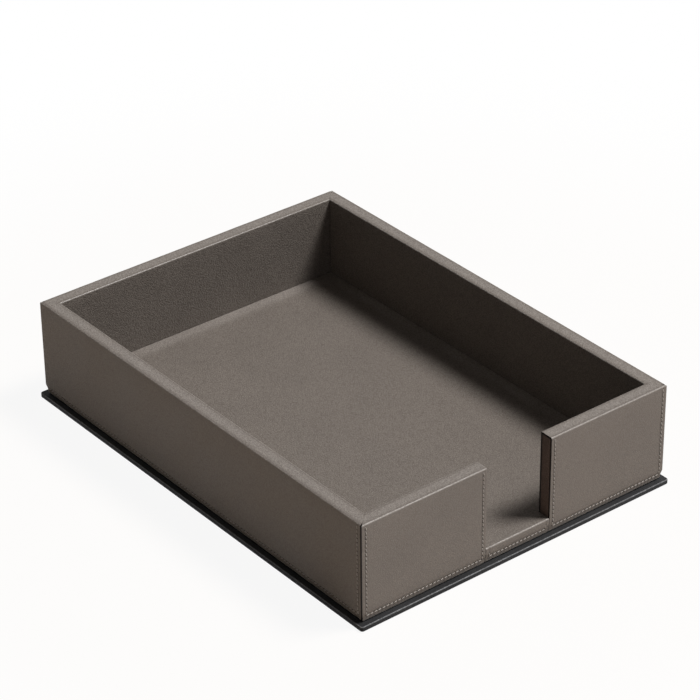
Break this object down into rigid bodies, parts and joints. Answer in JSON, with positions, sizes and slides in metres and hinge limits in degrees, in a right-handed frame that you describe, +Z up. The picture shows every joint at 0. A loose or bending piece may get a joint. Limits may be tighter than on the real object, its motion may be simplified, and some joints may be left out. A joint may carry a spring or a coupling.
{
  "type": "paper tray",
  "caption": "Open letter tray covered in stitched leather, with a finger notch in the front wall and a thin dark base.",
  "frame": {"origin": "on the table, under the middle of the tray", "axes": "+Z up, +Y from the notched front wall to the back wall along the tray's length, +X to the right as seen from the notch"},
  "size_m": [0.246, 0.336, 0.072],
  "materials": {
    "floor_board": "raw fibreboard",
    "left_wall_board": "raw fibreboard",
    "right_wall_board": "raw fibreboard",
    "back_wall_board": "raw fibreboard",
    "front_left_board": "raw fibreboard",
    "front_right_board": "raw fibreboard",
    "left_wall_leather": "pebbled, satin",
    "right_wall_leather": "pebbled, satin",
    "back_wall_leather": "pebbled, satin",
    "front_left_leather": "pebbled, satin",
    "front_right_leather": "pebbled, satin",
    "front_left_cheek": "painted edge strip, satin",
    "front_right_cheek": "painted edge strip, satin",
    "floor_leather": "pebbled, satin",
    "base_cover": "fine grain, satin",
    "base_board": "raw fibreboard",
    "base_lining": "suede nap"
  },
  "bodies": {
    "root": {"floor_board": "floor_board", "left_wall_board": "left_wall_board", "right_wall_board": "right_wall_board", "back_wall_board": "back_wall_board", "front_left_board": "front_left_board", "front_right_board": "front_right_board", "left_wall_leather": "left_wall_leather", "right_wall_leather": "right_wall_leather", "back_wall_leather": "back_wall_leather", "front_left_leather": "front_left_leather", "front_right_leather": "front_right_leather", "front_left_cheek": "front_left_cheek", "front_right_cheek": "front_right_cheek", "floor_leather": "floor_leather", "base_cover": "base_cover", "base_board": "base_board", "base_lining": "base_lining"}
  },
  "joints": []
}
